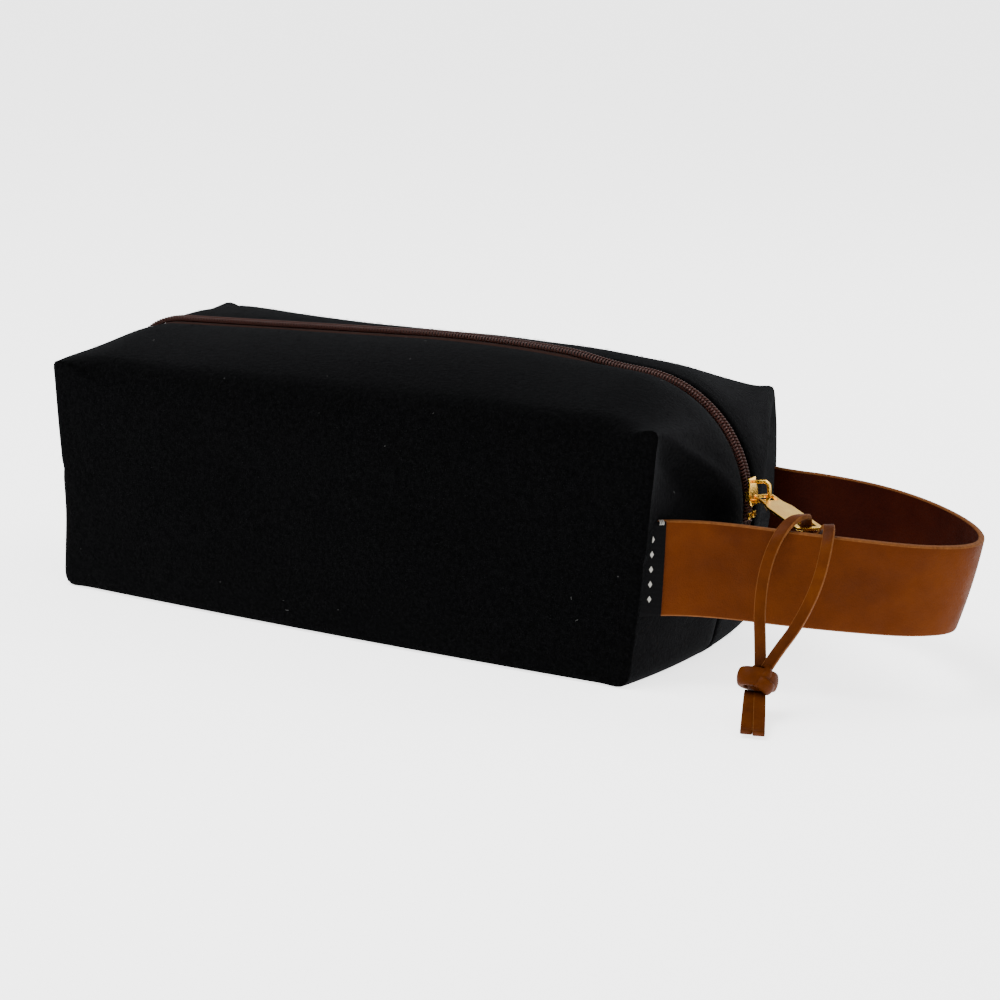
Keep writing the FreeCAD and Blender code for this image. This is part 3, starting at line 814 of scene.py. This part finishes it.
def shell_point(run, index, station, side, inset):
    """One point of the pouch's surface, moved inwards by the inset."""
    y, fold = station
    q = y / HALF_DEPTH
    middle_share = 1 - q * q
    x, z = (SIDE_PARTS[side][run][index] * q * q + MIDDLE_PARTS[run][index] * middle_share)
    inward = unit(SIDE_INWARD[side][run][index] * q * q + MIDDLE_INWARD[run][index] * middle_share)
    share = index / (len(MIDDLE_PARTS[run]) - 1)
    depth = inset
    if run != BASE:
        away = smooth_step(5.0, 16.0, y)
        depth += surface_wave(x, side * y, z) * (0.25 + 0.75 * away) * smooth_step(2.0, 16.0, z)
        turned_edge = 0.9 * smooth_step(SLOT_HALF + 1.3, SLOT_HALF, y) + 0.8 * smooth_step(16.0, 6.0, y)
        centre_seam = 0.7 * math.exp(-(y / 1.6) ** 2)
        depth += turned_edge * smooth_step(SEAM_HEIGHT + 1, SEAM_HEIGHT + 10, z)
        depth += centre_seam * smooth_step(SEAM_HEIGHT, SEAM_HEIGHT - 6, z)
    if run in (RIGHT_HIGH, RIGHT_LOW, LEFT_HIGH, LEFT_LOW):
        depth += end_hollow(run, share, q, side)
        depth += SEAM_DEPTH * math.exp(-((z - SEAM_HEIGHT) / SEAM_SPREAD) ** 2) * (1 - 0.5 * q ** 6)
    x += inward[0] * depth
    z += inward[1] * depth
    reach = min(share, 1 - share) * 2 * HALF_LENGTH
    if run == TOP:
        z -= TOP_FOLD * smooth_step(0.0, EAR_REACH, reach) * (1 - math.cos(fold))
        if side > 0:
            z += 1.2 * math.sin(math.pi * q) * smooth_step(0.45, 0.75, share)
    if run == BASE:
        z = max(z, inset) + BASE_FOLD * smooth_step(0.0, 12.0, reach) * (1 - math.cos(fold))
        y *= 1 + BASE_BELLY * math.sin(math.pi * share) ** 0.8
    return (x, side * y * (HALF_DEPTH - inset) / HALF_DEPTH, z)


def half_shell(name, side, inset, material, slot_half, thick):
    """One half of the pouch: half the base, ends and top and one side wall, as one sheet."""
    verts = []
    faces = []

    def grid(rows):
        """Adds a grid of points and its quads."""
        faces.extend(grid_faces(len(rows), len(rows[0]), len(verts)))
        for row in rows:
            verts.extend(row)

    first_open = max(index for index, (y, _) in enumerate(STATIONS) if y <= slot_half + 0.01)
    edge_rows = {}
    for run in range(6):
        first = first_open if run in (TOP, RIGHT_HIGH, LEFT_HIGH) else 0
        count = len(MIDDLE_PARTS[run])
        rows = [[shell_point(run, i, station, side, inset) for i in range(count)]
                for station in STATIONS[first:]]
        grid(rows)
        edge_rows[run] = rows[-1]
    grid(wall_rows(edge_rows, side))
    piece = new_mesh(name, verts, faces, [material])
    fix_normals(piece, weld=0.02)
    soften(piece, 2)
    thicken(piece, thick)
    return piece


def wall_rows(edge_rows, side):
    """The side wall as a grid between its four edges, a little fuller in the middle."""
    top = edge_rows[TOP][::-1]
    base = edge_rows[BASE]
    right = edge_rows[RIGHT_LOW] + edge_rows[RIGHT_HIGH][1:]
    left = (edge_rows[LEFT_HIGH] + edge_rows[LEFT_LOW][1:])[::-1]
    base, top, left, right = (np.array(line) for line in (base, top, left, right))
    rows = []
    down = len(left) - 1
    across = len(base) - 1
    for r in range(down + 1):
        v = r / down
        row = []
        for c in range(across + 1):
            u = c / across
            point = ((1 - v) * base[c] + v * top[c] + (1 - u) * left[r] + u * right[r]
                     - (1 - u) * (1 - v) * base[0] - u * (1 - v) * base[-1]
                     - (1 - u) * v * top[0] - u * v * top[-1])
            bulge = wall_bulge(u, v, point)
            row.append((point[0], point[1] + side * bulge, point[2]))
        rows.append(row)
    return rows


def wall_bulge(u, v, point):
    """How far the felt wall stands out: full near the base, with soft dents under the top fold."""
    dome = (4 * u * (1 - u)) ** 0.6 * (4 * v * (1 - v)) ** 0.7
    dents = hash_wave(*point, 30.0, 5.0) * 1.1 + hash_wave(*point, 11.0, 2.0) * 0.25
    return dome * (1.6 + dents) - 0.9 * math.exp(-((v - 0.62) / 0.2) ** 2) * dome


def soften(piece, rounds):
    """Rounds the hard edges a little, as thick felt turns."""
    work = bmesh.new()
    work.from_mesh(piece.data)
    for _ in range(rounds):
        inner = [v for v in work.verts if not v.is_boundary]
        bmesh.ops.smooth_vert(work, verts=inner, factor=0.5, use_axis_x=True, use_axis_y=True,
                              use_axis_z=True)
    work.to_mesh(piece.data)
    work.free()


felt_panels = {}
for side, name in ((-1, "front"), (1, "back")):
    panel = half_shell("felt_%s" % name, side, 0.0, FELT, SLOT_HALF, FELT_THICK)
    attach(panel, "bag")
    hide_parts("outer_%s_panel" % name)
    felt_panels[name] = panel
    lining = half_shell("lining_%s_piece" % name, side, LINING_INSET, LINING, LINING_SLOT_HALF,
                        LINING_THICK)
    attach(lining, "bag")
    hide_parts("lining_%s" % name)


# -------------------- zip

TAPE_DEPTH = 3.0
TAPE_THICK = 0.5
TAPE_ARCH = 0.95
ZIP_LIFT = 1.9
BEND_CENTRE_X = 100.0


def zipper_path(inset, step):
    """Points, outward directions and lifts along the zip, from the slider end to the far end."""
    line = [*MIDDLE_PARTS[RIGHT_HIGH], *MIDDLE_PARTS[TOP][1:], *MIDDLE_PARTS[LEFT_HIGH][1:]]
    points = resample(line, int(path_length(line) / step))
    lifted = ZIP_LIFT * smooth_step(BEND_CENTRE_X - 5, BEND_CENTRE_X - 33, points[:, 0])
    lifted *= smooth_step(-LEFT_REACH + 2, -LEFT_REACH + 24, points[:, 0])
    result = []
    for index, point in enumerate(points):
        ahead = tangent_at(points, index)
        out = np.array((ahead[1], -ahead[0]))
        result.append((point - out * (inset - lifted[index]), out, lifted[index]))
    return result


def zipper_tape(name, side):
    """A woven tape strip: arched beside the coil, then tucked under the felt."""
    offsets = (0.8, 2.2, 3.4, 4.0, 4.6, 5.2, 5.8, 6.6, 7.6, 9.0, 11.5, 14.0)
    path = zipper_path(TAPE_DEPTH, 2.0)
    verts = []
    for point, out, lift in path:
        for offset in offsets:
            arch = smooth_step(3.6, 4.7, offset) * smooth_step(6.3, 5.5, offset) * (1 - lift / ZIP_LIFT)
            tuck = 0.3 * smooth_step(6.0, 9.0, offset) + lift * smooth_step(3.4, 6.6, offset)
            place = point - out * (tuck - TAPE_ARCH * arch)
            verts.append((place[0], side * offset, place[1]))
    piece = new_mesh(name, verts, grid_faces(len(path), len(offsets)), [TAPE])
    fix_normals(piece)
    thicken(piece, TAPE_THICK)
    return piece


COIL_PITCH = 1.35
COIL_WIRE = 0.36
COIL_CENTRE = 1.72
COIL_HALF_WIDTH = 1.28
COIL_HALF_HEIGHT = 0.88
COIL_RISE = 1.25
TURN_POINTS = 8
WIRE_SIDES = 5


def zipper_coil(name, side):
    """One nylon coil: a flattened helix along the tape, its turns reaching for the other side's."""
    centres = []
    path = zipper_path(TAPE_DEPTH - COIL_RISE, COIL_PITCH / TURN_POINTS)
    for index, (point, out, _) in enumerate(path):
        angle = 2 * math.pi * index / TURN_POINTS + (math.pi if side > 0 else 0.0)
        across = COIL_CENTRE + COIL_HALF_WIDTH * math.cos(angle)
        place = point + out * COIL_HALF_HEIGHT * math.sin(angle)
        if point[1] > SEAM_HEIGHT + 7:
            centres.append(np.array((place[0], side * across, place[1])))
    verts, faces = tube(centres, COIL_WIRE, WIRE_SIDES, closed_ends=False)
    piece = new_mesh(name, verts, faces, [COIL])
    fix_normals(piece)
    return piece


for side, name in ((-1, "front"), (1, "back")):
    tape = zipper_tape("tape_%s" % name, side)
    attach(tape, "bag")
    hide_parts("zipper_tape_%s" % name)
    coil = zipper_coil("coil_%s" % name, side)
    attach(coil, "bag")
    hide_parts("zipper_coil_%s" % name)


# -------------------- brass pieces


def bevelled(node, name, width, body):
    """A hard CAD piece with its edges rounded over."""
    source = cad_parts[node]
    piece = link(bpy.data.objects.new(name, source.data.copy()))
    piece.matrix_world = source.matrix_world.copy()
    fix_normals(piece, weld=0.002)
    piece.data.materials.clear()
    piece.data.materials.append(BRASS)
    bevel = piece.modifiers.new("edges", "BEVEL")
    bevel.width = width * MM
    bevel.segments = 3
    bevel.limit_method = "ANGLE"
    bevel.angle_limit = math.radians(25)
    piece.data.polygons.foreach_set("use_smooth", [True] * len(piece.data.polygons))
    piece.modifiers.new("normals", "WEIGHTED_NORMAL")
    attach(piece, body)
    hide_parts(node)
    return piece


bevelled("slider_body", "slider_body_piece", 0.28, "slider")
bevelled("slider_bridge", "slider_bridge_piece", 0.35, "slider")
bevelled("pull_tab", "pull_tab_piece", 0.3, "tab")
bevelled("zipper_top_stops", "top_stops_piece", 0.2, "bag")
bevelled("zipper_bottom_stop", "bottom_stop_piece", 0.2, "bag")


# -------------------- carry strap and label

STRAP_PLAN = [(129.8, -61.2), (141, -50.5), (160, -42.5), (184, -38), (208, -31.5), (231, -23),
              (245, -8), (243.5, 9), (231, 28), (210, 46), (186, 57.5), (161, 60.5), (143.5, 58),
              (129.8, 61.2)]
STRAP_WIDTH = 38.0
STRAP_THICK = 2.4
STRAP_ROUNDING = 0.7
STRAP_ROOT = 48.0
STRAP_DROOP = 3.0
STRAP_TOP_LEAN = 8.0
TURN_PULL = 2.4


def strap_path():
    """The strap's centre line as close, even points."""
    far = max(x for x, _ in STRAP_PLAN)
    root = STRAP_PLAN[0][0]
    route = []
    for x, y in STRAP_PLAN:
        share = (x - root) / (far - root)
        route.append((x, y, STRAP_ROOT - STRAP_DROOP * share ** 2))
    return spline_points(route, 12)


def strap_mesh():
    """The leather band: rounded edges, its turn leaning out at the top, with a slight natural wave."""
    path = strap_path()
    outline = fill_long_sides(rounded_box_section(STRAP_WIDTH, STRAP_THICK, STRAP_ROUNDING), 10)
    rings = []
    root = STRAP_PLAN[0][0]
    far = max(point[0] for point in path)
    for index, point in enumerate(path):
        level = unit(np.cross(tangent_at(path, index), (0, 0, 1.0)))
        share = np.clip((point[0] - root) / (far - root), 0, 1)
        lean = STRAP_TOP_LEAN * share ** 1.5 / STRAP_WIDTH
        up = unit(np.array((0, 0, 1.0)) + level * lean)
        out = unit(level - up * np.dot(level, up))
        ring = []
        for across, thick in outline:
            wave = 0.35 * math.sin(index * 0.09 + across * 0.06) * share - TURN_PULL * share ** 3
            cup = -0.0016 * (across ** 2) * share
            ring.append(point + up * across + out * (thick + wave + cup))
        rings.append(ring)
    verts, faces = sweep(rings)
    count = len(outline)
    edge = STRAP_WIDTH / 2 - STRAP_ROUNDING - 0.05
    slots = []
    for i in range(len(faces) - 2):
        a = outline[i % count]
        b = outline[(i + 1) % count]
        if abs(a[0]) > edge and abs(b[0]) > edge:
            slots.append(2)
        elif a[1] > 0:
            slots.append(0)
        else:
            slots.append(1)
    slots += [2, 2]
    piece = new_mesh("strap_band", verts, faces, [STRAP_GRAIN, STRAP_FLESH, LEATHER_EDGE], slots)
    fix_normals(piece)
    return piece


strap = strap_mesh()
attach(strap, "bag")
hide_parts("carry_strap")

LABEL_REACH = 10.5
LABEL_THICK = 0.8
LABEL_LAYER = 0.32


def label_frame():
    """The label's root, its direction along the strap and its outward direction."""
    root = np.array((*STRAP_PLAN[0], STRAP_ROOT))
    along = unit(np.array((*STRAP_PLAN[1], STRAP_ROOT)) - root)
    outward = np.array((along[1], -along[0], 0.0))
    return root + outward * (STRAP_THICK / 2 + 0.1), along, outward


def label_lift(reach, height):
    """How far the ribbon stands off the strap."""
    return 0.5 * (reach / LABEL_REACH) ** 2 * (0.4 + 0.6 * math.cos(height * 0.09))


def label_mesh():
    """The folded ribbon: two layers joined by a round fold at the outer end."""
    start, along, outward = label_frame()
    fold = 0.3
    steps = 8
    profile = []
    for step in range(steps + 1):
        profile.append((LABEL_REACH * step / steps - fold, LABEL_LAYER / 2))
    for step in range(1, steps):
        angle = -math.pi / 2 + math.pi * step / steps
        profile.append((LABEL_REACH - fold + fold * math.cos(angle),
                        LABEL_THICK / 2 + 0.28 * math.sin(angle)))
    for step in range(steps + 1):
        profile.append((LABEL_REACH * (steps - step) / steps - fold, LABEL_THICK - LABEL_LAYER / 2))
    rows = 24
    verts = []
    for row in range(rows + 1):
        height = (row / rows - 0.5) * (STRAP_WIDTH - 0.6)
        for reach, out in profile:
            point = start + along * reach + outward * (out + label_lift(reach, height) + 0.15)
            verts.append((point[0], point[1], point[2] + height))
    piece = new_mesh("label_ribbon", verts, grid_faces(rows + 1, len(profile)), [LABEL])
    fix_normals(piece)
    thicken(piece, 0.25, offset=0.0)
    return piece


label = label_mesh()
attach(label, "bag")
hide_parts("woven_label")


MARK_SPACING = 5.9
MARK_REACH = 5.4
MARK_HALF_WIDTH = 0.85
MARK_HALF_HEIGHT = 1.45


def label_marks():
    """Five small woven diamonds down the ribbon's outer face."""
    start, along, outward = label_frame()
    sides = [(k, (k + 1) % 4, 4 + (k + 1) % 4, 4 + k) for k in range(4)]
    faces = [(3, 2, 1, 0), (4, 5, 6, 7)] + sides
    parts = []
    for step in range(5):
        height = MARK_SPACING * (step - 2)
        out = LABEL_THICK + label_lift(MARK_REACH, height) + 0.12
        centre = start + along * MARK_REACH + outward * out + np.array((0, 0, height))
        verts = []
        for level, size in ((-0.1, 1.0), (0.12, 0.9)):
            for turn in range(4):
                angle = math.pi / 2 * turn
                across = along * (MARK_HALF_WIDTH * size * math.cos(angle))
                rise = np.array((0, 0, MARK_HALF_HEIGHT * size * math.sin(angle)))
                verts.append(centre + across + outward * level + rise)
        parts.append((verts, faces))
    verts, faces = merge(parts)
    piece = new_mesh("label_marks", verts, faces, [PALE_THREAD], smooth=False)
    fix_normals(piece)
    return piece


def label_stitches():
    """The bar of pale thread that holds the ribbon's upper corner."""
    start, along, outward = label_frame()
    parts = []
    for step in range(3):
        base = start + along * (LABEL_REACH - 2.7 + 0.7 * step) + np.array((0, 0, STRAP_WIDTH / 2))
        arch = []
        for k in range(9):
            angle = math.pi * k / 8
            along_seam = np.array((0.2 * k / 8, 0, -0.7 + 0.9 * math.cos(angle)))
            arch.append(base + outward * (1.45 * math.sin(angle) + 0.2) + along_seam)
        parts.append(tube(arch, 0.2))
    verts, faces = merge(parts)
    piece = new_mesh("label_stitches", verts, faces, [PALE_THREAD])
    fix_normals(piece)
    return piece


for piece, slot in ((label_marks(), "label_weave"), (label_stitches(), "thread")):
    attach(piece, "bag")


# -------------------- loose fibres and lint on the felt

POUCH_CENTRE = np.array((0.0, 0.0, 52.0))


def scattered(panel, count):
    """Random places on a panel's outer face, except its base, each with its outward direction."""
    polygons = panel.data.polygons
    areas = [face.area for face in polygons]
    chosen = random.choices(range(len(polygons)), weights=areas, k=count)
    for index in chosen:
        face = polygons[index]
        corners = [np.array(panel.data.vertices[i].co) / MM for i in face.vertices]
        weights = [random.random() + 0.05 for _ in corners]
        place = sum(corner * weight for corner, weight in zip(corners, weights)) / sum(weights)
        out = np.array(face.normal)
        if np.dot(out, place - POUCH_CENTRE) < 0:
            out = -out
        if out[2] > -0.7:
            yield place, out


def curl(place, out, length, height):
    """A short fibre that leaves the surface, bends over and comes back near it."""
    swing = random.uniform(0, 2 * math.pi)
    first = unit(np.cross(out, (0.2, 0.5, 0.84)))
    second = np.cross(out, first)
    heading = first * math.cos(swing) + second * math.sin(swing)
    aside = np.cross(out, heading) * random.uniform(-0.4, 0.4)
    points = []
    for step in range(4):
        share = step / 3
        points.append(place - out * 0.15 + heading * length * share + aside * length * share ** 2
                      + out * height * math.sin(math.pi * 0.75 * share))
    return points


def fibres(name, panel, count, length, height, radius, material):
    """Many short fibres on a panel, as one piece."""
    parts = []
    for place, out in scattered(panel, count):
        size = random.uniform(0.6, 1.4)
        parts.append(tube(curl(place, out, length * size, height * size), radius, 3))
    verts, faces = merge(parts)
    piece = new_mesh(name, verts, faces, [material])
    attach(piece, "bag")


for name, panel in felt_panels.items():
    fibres("felt_fuzz_%s" % name, panel, 4200, length=1.5, height=0.7, radius=0.035, material=FELT)
    fibres("felt_lint_%s" % name, panel, 26, length=1.1, height=0.35, radius=0.07, material=LINT)


# -------------------- sewing thread inside the seams

for node in ("zipper_thread_front", "zipper_thread_back", "end_seam_thread", "base_seam_thread",
             "corner_seam_thread"):
    node_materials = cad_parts[node].data.materials
    node_materials.clear()
    node_materials.append(DARK_THREAD)


# -------------------- floor and light

FLOOR_REACH = 12000.0
FLOOR_GAP = 0.2

floor_corners = [(x * FLOOR_REACH, y * FLOOR_REACH, 0) for x, y in ((-1, -1), (1, -1), (1, 1), (-1, 1))]
floor = new_mesh("floor", floor_corners, [(0, 1, 2, 3)], [floor_material()], smooth=False)
floor.location.z = -FLOOR_GAP * MM

world = bpy.data.worlds.new("studio")
world.use_nodes = True
background = world.node_tree.nodes["Background"]
background.inputs["Color"].default_value = (1.0, 1.0, 1.0, 1.0)
background.inputs["Strength"].default_value = 1.0
bpy.context.scene.world = world
add_area_light("key", (-0.25, -0.45, 1.25), (0.04, 0, 0.05), 0.8, 21.0)
add_area_light("back_fill", (0.5, 0.9, 0.9), (0.05, 0, 0.08), 0.8, 8.0)
